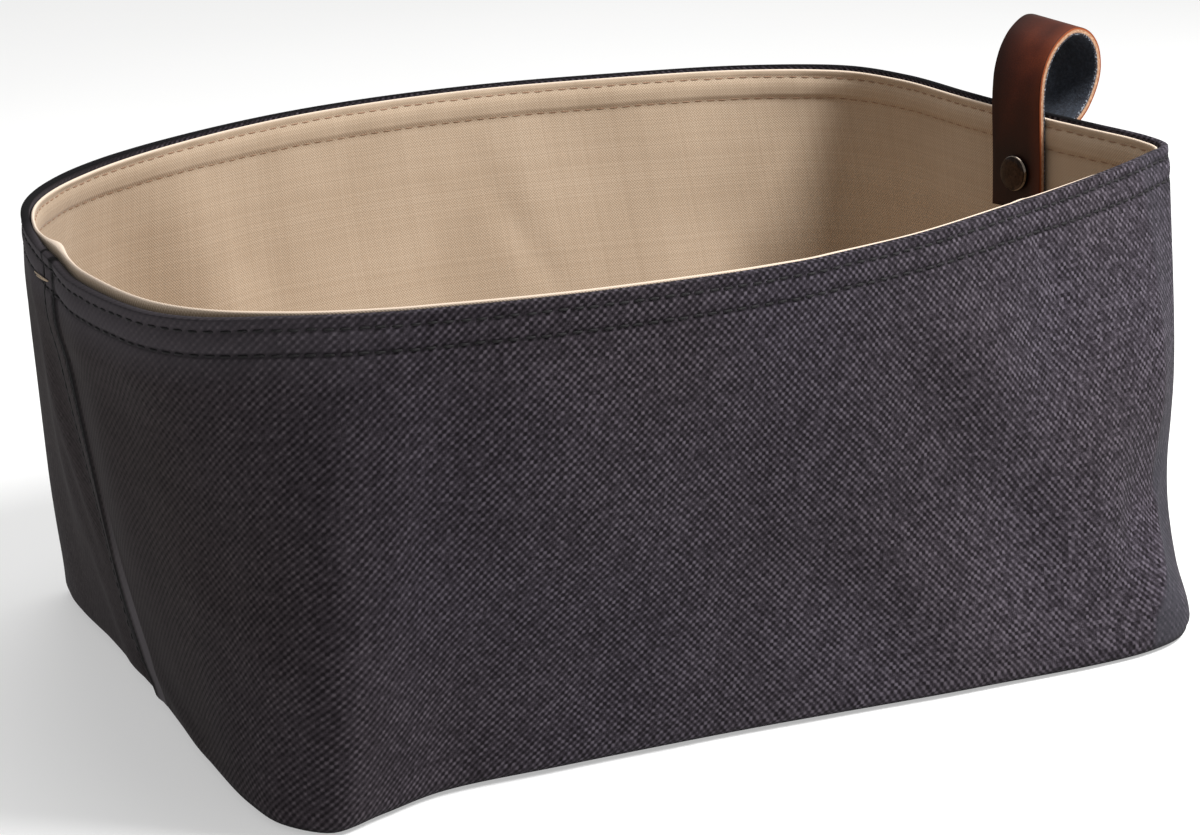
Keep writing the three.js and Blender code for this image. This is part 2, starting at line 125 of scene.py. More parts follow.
# Rim outline: the mouth is pulled into a skewed oval with one folded corner
RIM = named_rows("at x y", [
    ("left seam", -180.5, -14),
    ("left end", -180, -42),
    ("left turn", -173, -74),
    ("near left, rounded", -158, -94),
    ("front left", -130, -106.5),
    ("front, widest", -85, -115),
    ("front", -30, -115),
    ("front middle", 25, -108.5),
    ("front right", 75, -93),
    ("front, near the corner", 125, -70.5),
    ("folded corner, front side", 163, -49.5),
    ("folded corner, turn", 174, -42),
    ("folded corner, end side", 175, -31),
    ("right end", 169.5, -8),
    ("right seam", 162.4, 19.5),
    ("right end, rear", 157, 48),
    ("far right corner", 152, 82),
    ("far right corner, turn", 141, 104),
    ("rear right", 110, 119),
    ("rear, right of the middle", 60, 127),
    ("rear middle", 0, 129),
    ("rear left", -60, 119),
    ("far left, rounded", -118, 94),
    ("far left turn", -150, 70),
    ("left end, far", -170, 43),
    ("left end, rear", -179, 14),
])

# How far the wall stands out of the straight line from bottom to rim, half way up
BELLY = named_rows("at place out", [
    ("left seam", 0.0, 2),
    ("near left corner", 0.1, 1),
    ("front left", 0.2, 3),
    ("front middle", 0.27, 2),
    ("front right", 0.37, 1),
    ("near right corner", 0.43, 2.5),
    ("right seam", 0.5, 1),
    ("far right corner", 0.59, 0),
    ("rear middle", 0.75, 3),
    ("far left corner", 0.92, 5.5),
])

# How far the rim hangs below its full height
RIM_DIP = named_rows("at place down", [
    ("left seam", 0.0, 2.6),
    ("left end, front", 0.022, 4.0),
    ("near left corner", 0.062, 3.6),
    ("front left", 0.105, 1.6),
    ("front middle", 0.24, 1.9),
    ("front right", 0.29, 1.4),
    ("front, near the corner", 0.345, 0),
    ("left end, rear", 0.965, 0),
])

# How far the lining's edge stands over the cloth's rim; behind the loop it lies under it
LINING_LIP = named_rows("at place over", [
    ("left seam", 0.0, 1.6),
    ("left end, front", 0.02, 2.3),
    ("near left corner", 0.065, 2.0),
    ("front left", 0.11, 0.7),
    ("front middle", 0.2, 0.2),
    ("front right", 0.29, -0.3),
    ("near the folded corner", 0.385, -0.3),
    ("folded corner", 0.42, -1.3),
    ("left end, rear", 0.965, -1.3),
])

# Main folds: place and height of the middle, half length and half width, lean of the
# length from upright towards the right, and how far it stands out (troughs are negative)
FOLDS = named_rows("at place up long wide lean out", [
    ("near right corner, drawn in", 0.412, 42, 26, 24, 0, -9),
    ("near right, ridge from the hem", 0.332, 96, 42, 14, -44, 3.2),
    ("near right, trough below it", 0.337, 52, 36, 11, -38, -2.2),
    ("near right, foot", 0.398, 12, 16, 26, 60, 2.5),
    ("front right, low ridge", 0.306, 38, 38, 12, -44, 2.4),
    ("front, low ripple", 0.24, 42, 55, 16, 65, -1.4),
    ("front left, ridge by the corner", 0.16, 85, 55, 16, 14, 2.6),
    ("front left, swell under the hem", 0.195, 100, 40, 26, 0, 2.4),
    ("near left corner, ridge", 0.12, 50, 55, 13, -4, 1.3),
    ("near left, beside it", 0.085, 62, 45, 13, -6, -1.6),
    ("left end, far panel crease", 0.973, 85, 40, 8, 12, 1.4),
    ("left end, far panel trough", 0.985, 60, 40, 10, 8, -0.8),
    ("rear, right fold", 0.67, 70, 50, 18, -15, -2.5),
    ("rear, left fold", 0.83, 60, 55, 16, 18, -2.5),
    ("far right corner, drawn in", 0.585, 45, 26, 20, 0, -3),
])

# Small creases and dimples that lie on the main folds
CREASES = named_rows("at place up long wide lean out", [
    ("beside the left seam, lit ridge", 0.008, 30, 42, 3.2, -3, 1.6),
    ("along the left end's foot", 0.04, 9, 22, 4, -74, 1.0),
    ("left seam's foot, pinched in", 0.001, 3, 12, 5, 0, -2.0),
    ("left end, swell by the seam", 0.03, 90, 40, 12, -5, 0.8),
    ("far panel, lit streak", 0.984, 72, 38, 5, -6, 1.8),
    ("far panel, low swell", 0.98, 28, 28, 7, -10, 1.6),
    ("left, swell along the hem", 0.05, 127, 80, 9, 90, 1.7),
    ("near left corner, edge", 0.134, 78, 52, 7, 2, 1.2),
    ("near left corner, pinch", 0.108, 14, 14, 5, -12, -0.8),
    ("front left, slanted soft ridge", 0.095, 50, 30, 9, -63, 1.0),
    ("front left, soft wave", 0.17, 70, 45, 11, 30, 0.5),
    ("front middle, long soft wave", 0.24, 80, 50, 15, -30, -0.7),
    ("front, slanted swell", 0.285, 88, 36, 14, -50, 0.9),
    ("front, faint upright hollow", 0.244, 40, 26, 9, 4, -1.1),
    ("front, crease below the hem", 0.247, 124, 22, 6, 35, 0.9),
    ("front right, crease under the hem", 0.358, 123, 20, 2.8, -27, -1.3),
    ("front right, dimple", 0.315, 66, 14, 10, -30, 0.7),
    ("near right, pull to the corner", 0.357, 26, 18, 4, -28, 0.6),
    ("near right corner, crisp fold", 0.4065, 30, 25, 3.2, 42, 1.3),
    ("near right corner, hollow beside it", 0.391, 38, 20, 9, 20, -3.4),
    ("near right corner, upper edge", 0.412, 86, 32, 3, 3, 0.6),
    ("front, foot pucker", 0.2, 12, 26, 5, 82, 0.6),
    ("front, foot pucker, right", 0.33, 14, 30, 5, 95, 0.6),
    ("right end, crease", 0.47, 80, 35, 6, -14, -0.7),
    ("right end, rear crease", 0.545, 70, 35, 6, 10, 0.7),
    ("rear right, pull to the corner", 0.62, 50, 34, 9, 35, 0.9),
    ("rear, slanted crease", 0.72, 92, 30, 6, 24, 0.7),
    ("rear middle, long swell", 0.75, 70, 60, 18, 8, 1.0),
    ("rear, dimple", 0.78, 50, 22, 12, -30, -0.9),
    ("rear left, pull to the corner", 0.875, 55, 36, 9, -35, 0.9),
])

# Outer face of the leather loop seen from its side: n stands out of the wall's outer
# face and h is the height over the rim
LOOP_FACE = named_rows("n h", [
    (-7.5, 0), (-7.3, 7), (-6.4, 13), (-3.6, 19.6), (1.2, 25), (8, 28.3), (15, 26.8),
    (19.8, 21.5), (21.3, 14), (19.8, 7), (15.6, -0.5), (9.6, -6.2), (5.4, -10.6), (4.3, -14),
])


def mix(a, b, t):
    return a + (b - a) * t


def smooth(t):
    t = np.clip(t, 0.0, 1.0)
    return t * t * (3 - 2 * t)


def unit(vectors):
    return vectors / np.linalg.norm(vectors, axis=-1, keepdims=True)


def cubic(first, last, start, end, t):
    """Curve from first to last that leaves along start and arrives along end."""
    bend = -3 * first + 3 * last - 2 * start - end
    rest = 2 * first - 2 * last + start + end
    return first + start * t + bend * t ** 2 + rest * t ** 3


def outline(stations):
    """A closed outline as a function of place: 0 at the left seam, 0.5 at the right one."""
    points = np.array([[row["x"], row["y"]] for row in stations], float)
    count = len(points)
    seam = [row["at"] for row in stations].index("right seam") / count

    def tangent(a, b, c, before, after):
        return (b - a) / before - (c - a) / (before + after) + (c - b) / after

    def curve(t):
        position = t * count
        first = np.floor(position).astype(int)
        share = (position - first)[:, None]
        p = [points[(first + k) % count] for k in (-1, 0, 1, 2)]
        gaps = [np.sqrt(np.linalg.norm(p[k + 1] - p[k], axis=1))[:, None] for k in range(3)]
        start, end = tangent(*p[:3], *gaps[:2]), tangent(*p[1:], *gaps[1:])
        return cubic(p[1], p[2], start * gaps[1], end * gaps[1], share)

    halves = []
    for low, high in [(0, seam), (seam, 1)]:
        line = curve(np.linspace(low, high, 601))
        steps = np.linalg.norm(np.diff(line, axis=0), axis=1)
        lengths = np.concatenate([[0], np.cumsum(steps)])
        halves.append((lengths / lengths[-1], line))

    def at(place):
        turn = np.mod(np.asarray(place, float), 1.0)
        found = np.zeros(turn.shape + (2,))
        for half, (shares, line) in enumerate(halves):
            here = (turn < 0.5) == (half == 0)
            for axis in range(2):
                found[here, axis] = np.interp(turn[here] * 2 - half, shares, line[:, axis])
        return found

    return at


bottom_at = outline(BOTTOM)
rim_at = outline(RIM)


def value_at(table, key, place):
    """A value from a table of places, eased between its rows and running on round."""
    turn = np.mod(place, 1.0)
    places = np.array([row["place"] for row in table] + [1.0])
    values = np.array([row[key] for row in table] + [table[0][key]], float)
    row = np.clip(np.searchsorted(places, turn, side="right") - 1, 0, len(table) - 1)
    share = (turn - places[row]) / (places[row + 1] - places[row])
    return mix(values[row], values[row + 1], smooth(share))


def folds_at(table, place, up):
    out = np.zeros(np.broadcast(place, up).shape)
    for fold in table:
        turn = place - fold["place"]
        across = (turn - np.round(turn)) * GIRTH
        rise = up - fold["up"]
        lean = math.radians(fold["lean"])
        along = rise * math.cos(lean) + across * math.sin(lean)
        aside = across * math.cos(lean) - rise * math.sin(lean)
        out += fold["out"] * np.exp(-((along / fold["long"]) ** 2) - (aside / fold["wide"]) ** 2)
    return out


def uneven_at(place, up, ends):
    """Slow random swells of a few tenths of a millimetre, the same on every run. Only the
    longest of them reach the foot and the rim, where ends is 0."""
    chance = random.Random(11)
    out = np.zeros(np.broadcast(place, up).shape)
    for waves in range(5, 27):
        rise = chance.uniform(-0.07, 0.07)
        phase = chance.uniform(0, 2 * math.pi)
        size = 0.17 * math.sqrt(6 / waves)
        held = mix(0.6, 1, ends) if waves < 12 else ends
        out += size * held * np.sin(2 * math.pi * waves * place + rise * up + phase)
    return out


def seam_side(place):
    """Signed distance in millimetres from the nearest side seam."""
    turn = np.mod(np.asarray(place, float) + 0.25, 0.5) - 0.25
    return turn * GIRTH


def edge_radius(place):
    away = np.abs(seam_side(place)) / GIRTH
    ends = 1 - smooth((away - END_WALL["reach"]) / END_WALL["blend"])
    return mix(EDGE_RADIUS["fold"], EDGE_RADIUS["end"], ends)


def outward(at, place):
    step = 4 / GIRTH
    along = at(place + step) - at(place - step)
    return unit(np.stack([along[..., 1], -along[..., 0]], axis=-1))


def with_height(points, height):
    height = np.broadcast_to(height, points.shape[:-1])
    return np.concatenate([points, height[..., None]], axis=-1)


def bottom_points(place, share):
    inset = bottom_at(place) - outward(bottom_at, place) * edge_radius(place)[..., None]
    return with_height(inset * share, 0)


def wall_points(place, up, fine=True):
    """Points of the wall's outer face, with its main folds only where fine is off."""
    share = up / RIM_HEIGHT
    flat = mix(bottom_at(place), rim_at(place), share[..., None])
    way = unit(mix(outward(bottom_at, place), outward(rim_at, place), share[..., None]))
    ends = smooth(up / FOLD_EASE["foot"]) * smooth((RIM_HEIGHT - up) / FOLD_EASE["rim"])
    out = value_at(BELLY, "out", place) * np.sin(np.pi * share) + folds_at(FOLDS, place, up) * ends
    if fine:
        above_foot = smooth(up / 5)
        out = out + (folds_at(CREASES, place, up) + uneven_at(place, up, ends)) * above_foot
        up = up * (1 - value_at(RIM_DIP, "down", place) / RIM_HEIGHT)
    return with_height(flat + way * out[..., None], up)


def turn_points(place, share):
    corner = with_height(bottom_at(place), 0)
    start = bottom_points(place, 1)
    end = wall_points(place, edge_radius(place))
    return mix(mix(start, corner, share), mix(corner, end, share), share)


def face_points(place, level):
    """The cloth's outer face. level runs from -2 in the middle of the bottom to -1 where
    its edge starts to turn, to 0 where the turn ends, and on up the wall in millimetres."""
    place, level = np.broadcast_arrays(np.asarray(place, float), np.asarray(level, float))
    radius = edge_radius(place)
    on_wall = wall_points(place, np.maximum(level, radius))
    in_turn = turn_points(place, np.clip(level + 1, 0, 1)[..., None])
    on_bottom = bottom_points(place, np.clip(level + 2, 0, 1)[..., None])
    wall, turn = (level > 0)[..., None], (level > -1)[..., None]
    return np.where(wall, on_wall, np.where(turn, in_turn, on_bottom))


def column_places():
    """Places of the columns of points, closer together where a seam is sewn."""
    step, seam_step, seam_reach = 2.5, 0.8, 10.0
    places = []
    for seam in (0.0, 0.5):
        fine = np.arange(-seam_reach, seam_reach + 0.01, seam_step)
        places += [(seam + offset / GIRTH) % 1.0 for offset in fine]
        wide = GIRTH / 2 - 2 * seam_reach
        count = round(wide / step)
        for i in range(1, count):
            places.append((seam + (seam_reach + wide * i / count) / GIRTH) % 1.0)
    return np.array(sorted(places))


def level_rows():
    bottom = np.linspace(-2, -1, 12)[:-1]
    turn = np.linspace(-1, 0, 10)
    wall = np.arange(7.5, RIM_HEIGHT - HEM_ZONE, 2.5)
    hem = np.arange(RIM_HEIGHT - HEM_ZONE, RIM_HEIGHT - 0.8, 0.7)
    return np.concatenate([bottom, turn, wall, hem, [RIM_HEIGHT - 0.7, RIM_HEIGHT - 0.3, RIM_HEIGHT]])


PLACES = column_places()
LEVELS = level_rows()
GRID_PLACE, GRID_LEVEL = np.meshgrid(PLACES, LEVELS)
FACE = face_points(GRID_PLACE, GRID_LEVEL)


def grid_normals(points):
    along = np.roll(points, -1, axis=1) - np.roll(points, 1, axis=1)
    up = np.empty_like(points)
    up[1:-1] = points[2:] - points[:-2]
    up[0] = points[1] - points[0]
    up[-1] = points[-1] - points[-2]
    normals = np.cross(along, up)
    normals[0] = (0, 0, -1)
    return unit(normals)


NORMALS = grid_normals(FACE)
TURN_TOP = edge_radius(PLACES)


def groove(distance, width):
    return np.exp(-((distance / width) ** 2))


def hem_share(up):
    return smooth((up - (RIM_HEIGHT - HEM["depth"])) / HEM["blend"])


def seam_ridge(place, up):
    away = np.abs(seam_side(place)) - SIDE_SEAM["width"] / 2
    across = 1 - smooth(away / SIDE_SEAM["edge"])
    rise = smooth((up - SIDE_SEAM["start"]) / SIDE_SEAM["ease"])
    fall = smooth((RIM_HEIGHT - SIDE_SEAM["under_rim"] - up) / SIDE_SEAM["under_rim"])
    return SIDE_SEAM["height"] * across * rise * fall


def sewn_relief(place, up, rows, deep):
    """Puckers along the rows of stitches: the cloth is drawn in at each row, waves a
    little beside it and swells between the rows."""
    along = place * GIRTH
    wave, swell = dict(height=0.1, length=22), dict(height=0.25, under=6.6)
    relief = np.zeros(np.broadcast(place, up).shape)
    for under in rows:
        away = up - (RIM_HEIGHT - under)
        relief -= deep * groove(away, ROW_WIDTH)
        relief += wave["height"] * groove(away, 2.2) * np.sin(2 * np.pi * along / wave["length"] + under)
    relief += swell["height"] * groove(up - (RIM_HEIGHT - swell["under"]), 2.0)
    return relief


def seam_relief(place, up):
    aside = seam_side(place)
    on_seam = smooth((up - 4) / 8) * smooth((RIM_HEIGHT - 2 - up) / 3)
    relief = np.zeros(np.broadcast(place, up).shape)
    for row in SEAM_ROWS:
        relief -= DRAWN_IN["seam"] * groove(aside - row, ROW_WIDTH)
    on_end_wall = 1 - smooth((np.abs(aside) / GIRTH - 0.085) / 0.02)
    foot = FOOT_GROOVE["depth"] * groove(up - FOOT_GROOVE["level"], FOOT_GROOVE["width"])
    return relief * on_seam - foot * on_end_wall


def outer_depth(place, up):
    hem = sewn_relief(place, up, HEM_ROWS, DRAWN_IN["hem"])
    return -(seam_ridge(place, up) + hem + seam_relief(place, up))


def inner_depth(up):
    return CLOTH + HEM["extra"] * hem_share(up)


def layer(depth, lift):
    """The grid moved in by a depth under the outer face, with the rim raised by lift."""
    points = FACE - NORMALS * depth[..., None]
    near_rim = smooth((GRID_LEVEL - (RIM_HEIGHT - 3)) / 3)
    points[..., 2] += lift * near_rim
    return points


def new_mesh(name, points, faces, uvs=None):
    """Mesh object from points in millimetres; uvs holds one row for each face corner."""
    mesh = bpy.data.meshes.new(name)
    mesh.from_pydata((np.asarray(points) * MM).tolist(), [], [tuple(face) for face in faces])
    if uvs is not None:
        mesh.uv_layers.new(name="cloth_mm").data.foreach_set("uv", np.asarray(uvs, float).ravel())
    mesh.shade_smooth()
    mesh.update()
    obj = bpy.data.objects.new(name, mesh)
    bpy.context.scene.collection.objects.link(obj)
    return obj


def shell(name, outer, inner, crown):
    """A closed sheet between two layers, with a rounded edge over the rim."""
    shares = (0.12, 0.3, 0.5, 0.7, 0.88)
    lift = np.array([0, 0, crown])
    arc = [mix(outer[-1], inner[-1], t) + lift * math.sin(math.pi * t) for t in shares]
    rows = [*outer, *arc, *inner[::-1]]
    levels = [*LEVELS, *[RIM_HEIGHT + 0.5 * k for k in range(1, 6)], *LEVELS[::-1]]
    points = [rows[0][0], *np.concatenate(rows[1:-1]), rows[-1][0]]
    count, last = len(PLACES), len(points) - 1

    def index(row, column):
        """The first and the last row are one point each."""
        return min(max(1 + (row - 1) * count + column % count, 0), last)

    faces, uvs = [], []
    for r in range(len(rows) - 1):
        on_bottom = max(levels[r], levels[r + 1]) <= -1 + 1e-6
        for c in range(count):
            corners = {}
            for row, column in ((r, c), (r, c + 1), (r + 1, c + 1), (r + 1, c)):
                corners.setdefault(index(row, column), (row, column))
            faces.append(list(corners))
            for point, (row, column) in corners.items():
                if on_bottom:
                    x, y, _ = points[point]
                    uvs.append((x, -y))
                else:
                    turn = PLACES[column % count] + (1 if column >= count else 0)
                    rise = levels[row]
                    if rise <= 0:
                        rise = TURN_TOP[column % count] + TURN_LENGTH * rise
                    uvs.append((turn * GIRTH, rise))
    return new_mesh(name, points, faces, uvs)


def seam_bulk(place, up):
    """The seam's extra layers push the lining in just under the rim at each side seam."""
    return groove(seam_side(place) + 1, 8) * groove(up - RIM_HEIGHT, 6)


def make_cloth():
    outer = layer(outer_depth(GRID_PLACE, GRID_LEVEL), 0)
    inner = layer(inner_depth(GRID_LEVEL), 0)
    return shell("outer_cloth_sewn", outer, inner, 0.5)


def lining_relief(place, up):
    """How far the lining's inner face stands into the bag, with its seams drawn in."""
    hem = sewn_relief(place, up, LINING_ROWS, DRAWN_IN["lining_hem"]) + 1.2 * seam_bulk(place, up)
    below_hem = smooth((up - 4) / 8) * smooth((RIM_HEIGHT - HEM_ZONE - up) / 6)
    allowance = 0.5 * groove(seam_side(place) - 2.5, 2.5)
    seam = DRAWN_IN["lining_seam"] * groove(seam_side(place), ROW_WIDTH)
    return hem + (allowance - seam) * below_hem


def make_lining():
    depth = inner_depth(GRID_LEVEL) + LINING_GAP
    relief = lining_relief(GRID_PLACE, GRID_LEVEL)
    lift = value_at(LINING_LIP, "over", GRID_PLACE) + 0.6 * seam_bulk(GRID_PLACE, GRID_LEVEL)
    outer = layer(depth, lift)
    inner = layer(depth + LINING + relief, lift)
    return shell("lining_sewn", outer, inner, 0.4)


def point_on(place, level, depth):
    """A point at a depth under the outer face, with its outward normal."""
    step = 0.5
    points = face_points(place, level)
    along = face_points(place + step / GIRTH, level) - face_points(place - step / GIRTH, level)
    up = points - face_points(place, level - step)
    normal = unit(np.cross(along, up))
    return points - normal * np.asarray(depth)[..., None], normal


def stitches(name, rows, sides=6):
    """One object with every stitch of some rows. Each row has the start and the end points
    of its stitches and the way out of the cloth; a stitch dips into it at both ends."""
    profile = [(0.0, -0.9, 0.55), (0.14, -0.1, 0.95), (0.35, 0.35, 1.0),
               (0.65, 0.35, 1.0), (0.86, -0.1, 0.95), (1.0, -0.9, 0.55)]
    points, faces = [], []
    for starts, ends, ways, radius in rows:
        for start, end, way in zip(starts, ends, ways):
            along = unit(end - start)
            aside = np.cross(along, way)
            first = len(points)
            for share, rise, size in profile:
                middle = mix(start, end, share) + way * rise * radius
                for k in range(sides):
                    angle = 2 * math.pi * k / sides
                    points.append(middle + (aside * math.cos(angle) + way * math.sin(angle)) * radius * size)
            for ring in range(len(profile) - 1):
                for k in range(sides):
                    a, b = first + ring * sides + k, first + ring * sides + (k + 1) % sides
                    faces.append((a, b, b + sides, a + sides))
            last = first + (len(profile) - 1) * sides
            faces += [range(first + sides - 1, first - 1, -1), range(last, last + sides)]
    return new_mesh(name, points, faces)


def hem_row(under, depth, side, seed, radius):
    """Stitches of one hem row; side is 1 on the outer cloth and -1 on the lining."""
    count = round(GIRTH / STITCH["pitch"])
    chance = random.Random(seed)
    jitter = np.array([chance.uniform(-0.25, 0.25) for _ in range(count)])
    wander = np.array([chance.uniform(-0.12, 0.12) for _ in range(count)])
    middle = (np.arange(count) + 0.5) / count + jitter / GIRTH
    half = STITCH["length"] / 2 / GIRTH
    level = RIM_HEIGHT - under + wander
    starts, ways = point_on(middle - half, level, depth(middle - half, level))
    ends, _ = point_on(middle + half, level, depth(middle + half, level))
    if side < 0:
        starts, ends, ways = ends, starts, -ways
    return starts, ends, ways, radius


def seam_row(seam, aside):
    """Stitches of one upright row beside a side seam."""
    low, high = 9, RIM_HEIGHT - 4
    count = round((high - low) / STITCH["pitch"])
    place = np.full(count, seam + aside / GIRTH)
    middle = low + (high - low) * (np.arange(count) + 0.5) / count
    half = STITCH["length"] / 2
    depth = outer_depth(place, middle)
    starts, ways = point_on(place, middle - half, depth)
    ends, _ = point_on(place, middle + half, depth)
    return starts, ends, ways, STITCH["radius"]


def lining_depth(place, level):
    return inner_depth(level) + LINING_GAP + LINING + lining_relief(place, level)


def make_outer_thread():
    rows = [hem_row(under, outer_depth, 1, 5 + i, STITCH["radius"]) for i, under in enumerate(HEM_ROWS)]
    rows += [seam_row(seam, aside) for seam in (0.0, 0.5) for aside in SEAM_ROWS]
    return stitches("outer_thread", rows)


def make_lining_thread():
    rows = [hem_row(under, lining_depth, -1, 9 + i, radius)
            for i, (under, radius) in enumerate(zip(LINING_ROWS, LINING_STITCH_RADII))]
    return stitches("inner_thread", rows)


def make_tack():
    """Short pale stitches across the left side seam, under the hem."""
    rise, radius = 2.3, 0.2
    rows = []
    for under, start_aside, end_aside in ((9.3, -15, 1), (9.7, -13, 0)):
        level = np.array([RIM_HEIGHT - under])
        start, way = point_on(np.array([start_aside / GIRTH]), level, np.array([-0.5]))
        end, _ = point_on(np.array([end_aside / GIRTH]), level + rise, np.array([-0.7]))
        rows.append((start, end, way, radius))
    return stitches("seam_tack", rows)


def loop_basis():
    """Frame of the loop: its seat on the rim, out of the wall, up it and along the rim."""
    half = LEATHER["width"] / 2 / GIRTH
    before, seat, after = with_height(rim_at(np.array([0.5 - half, 0.5, 0.5 + half])), RIM_HEIGHT)
    below = wall_points(np.array([0.5]), np.array([RIM_HEIGHT - 40.0]), fine=False)[0]
    wall = unit(seat - below)
    out = unit(np.cross(unit(after - before), wall))
    up = np.array(Matrix.Rotation(math.radians(LEATHER["lean"]), 3, Vector(out)) @ Vector(wall))
    return seat, out, up, np.cross(up, out)


LOOP_SEAT, LOOP_OUT, LOOP_UP, LOOP_ALONG = loop_basis()
HEM_STACK = CLOTH + HEM["extra"] + LINING_GAP + LINING
STRAP_INSIDE = -(HEM_STACK + PIECE_GAP + LEATHER["thickness"])
STRAP_OUTSIDE = SIDE_SEAM["height"] + STRAP_GAP + LEATHER["thickness"]


def on_loop(out, up, across):
    """Points in the bag's frame from the loop's own; across runs to the far edge."""
    out, up, across = (np.asarray(value, float)[..., None] for value in (out, up, across))
    return LOOP_SEAT + LOOP_OUT * out + LOOP_UP * up + LOOP_ALONG * across


def strap_path(steps):
    knots = [(STRAP_INSIDE, -LEATHER["inside_leg"]), (STRAP_INSIDE, -LEATHER["inside_leg"] / 2)]
    knots += [(row["n"], row["h"]) for row in LOOP_FACE]
    knots += [(STRAP_OUTSIDE, -RIVET["below"]), (STRAP_OUTSIDE, -LEATHER["outside_leg"])]
    knots = np.array(knots, float)
    last = len(knots) - 1
    position = np.linspace(0, last, steps)
    first = np.minimum(np.floor(position).astype(int), last - 1)
    t = (position - first)[:, None]
    p = [knots[np.clip(first + k, 0, last)] for k in (-1, 0, 1, 2)]
    return cubic(p[1], p[2], (p[2] - p[0]) / 2, (p[3] - p[1]) / 2, t)


def strap_section():
    """Round the strap: (across, depth under the face, which surface), with soft arrises."""
    half, thick, soft = LEATHER["width"] / 2, LEATHER["thickness"], SOFT_ARRIS

    def arris(angle, depth, way):
        turn = math.radians(angle)
        return half - soft + soft * math.sin(turn), depth + way * soft * math.cos(turn), "edge"

    section = [(across, 0.0, "face") for across in np.linspace(-half + soft, half - soft, 13)]
    section += [arris(angle, soft, -1) for angle in (30, 60, 90)]
    section += [(half, thick * depth, "edge") for depth in (0.35, 0.5, 0.65, 0.8)]
    section += [arris(angle, thick - soft, 1) for angle in (60, 30)]
    section += [(across, thick, "back") for across in np.linspace(half - soft, -half + soft, 13)]
    far_edge = [(-across, depth, kind) for across, depth, kind in section if kind == "edge"]
    return section + far_edge[::-1]


def make_strap():
    steps = 120
    path = strap_path(steps)
    tangent = unit(np.gradient(path, axis=0))
    inward = np.stack([tangent[:, 1], -tangent[:, 0]], axis=1)
    lengths = np.concatenate([[0], np.cumsum(np.linalg.norm(np.diff(path, axis=0), axis=1))])
    section = strap_section()
    count = len(section)
    points = []
    for centre, way in zip(path, inward):
        for across, depth, _ in section:
            out, up = centre + way * depth
            up = up * (1 + LEATHER["skew"] * across / LEATHER["width"]) if up > 0 else up
            points.append(on_loop(out, up, across))
    around = [0.0]
    for a, b in zip(section, section[1:] + section[:1]):
        around.append(around[-1] + math.hypot(b[0] - a[0], b[1] - a[1]))
    faces, uvs, kinds = [], [], []
    for i in range(steps - 1):
        for k in range(count):
            n = (k + 1) % count
            faces.append((i * count + k, i * count + n, (i + 1) * count + n, (i + 1) * count + k))
            uvs += [(lengths[i], around[k]), (lengths[i], around[k + 1]),
                    (lengths[i + 1], around[k + 1]), (lengths[i + 1], around[k])]
            pair = {section[k][2], section[n][2]}
            kinds.append("edge" if "edge" in pair else pair.pop())
    end = [corner[:2] for corner in section]
    faces += [range(count - 1, -1, -1), range((steps - 1) * count, steps * count)]
    uvs += end[::-1] + end
    kinds += ["edge", "edge"]
    return new_mesh("leather_strap", points, faces, uvs), kinds


def turned(name, profile, sides=64):
    """A turned piece on the rivet's axis; the profile holds (radius, out of the wall)."""
    points, faces, firsts = [], [], []
    for radius, out in profile:
        firsts.append(len(points))
        for k in range(sides if radius > 0 else 1):
            angle = 2 * math.pi * k / sides
            points.append(on_loop(out, -RIVET["below"] + radius * math.cos(angle), radius * math.sin(angle)))

    def index(ring, k):
        return firsts[ring] + (k % sides if profile[ring][0] > 0 else 0)

    for i in range(len(profile) - 1):
        for k in range(sides):
            corners = [index(i, k), index(i, k + 1), index(i + 1, k + 1), index(i + 1, k)]
            faces.append(list(dict.fromkeys(corners)))
    return new_mesh(name, points, faces)


def dome(face, side):
    radius, height = RIVET["radius"], RIVET["height"]
    shape = [(0.0, 1.0), (0.25, 0.99), (0.45, 0.965), (0.6, 0.92), (0.73, 0.86), (0.84, 0.77),
             (0.92, 0.66), (0.965, 0.54), (0.99, 0.4), (1.0, 0.26), (1.0, 0.13), (0.985, 0.04), (0.96, 0)]
    return [(radius * r, face + side * height * h) for r, h in shape]


def on_shoulder(centre):
    """Whether a point of the rivet lies on the rounded shoulder of one of its caps."""
    away = np.array(centre) / MM - on_loop(0, -RIVET["below"], 0)
    radius = np.linalg.norm(away - LOOP_OUT * (away @ LOOP_OUT))
    return bool(0.88 * RIVET["radius"] < radius < 0.985 * RIVET["radius"])


def make_rivet():
    inside, outside = STRAP_INSIDE - PIECE_GAP, STRAP_OUTSIDE + PIECE_GAP
    end = outside + RIVET["post_beyond"]
    hollow = end + PIECE_GAP
    stem = RIVET["post"]
    bore = stem + PIECE_GAP
    post = turned("rivet_inside", [*dome(inside, -1), (stem, inside), (stem, end), (0, end)])
    cap = turned("rivet_outside", [(0, hollow), (bore, hollow), (bore, outside), *dome(outside, 1)[::-1]])
    return post, cap


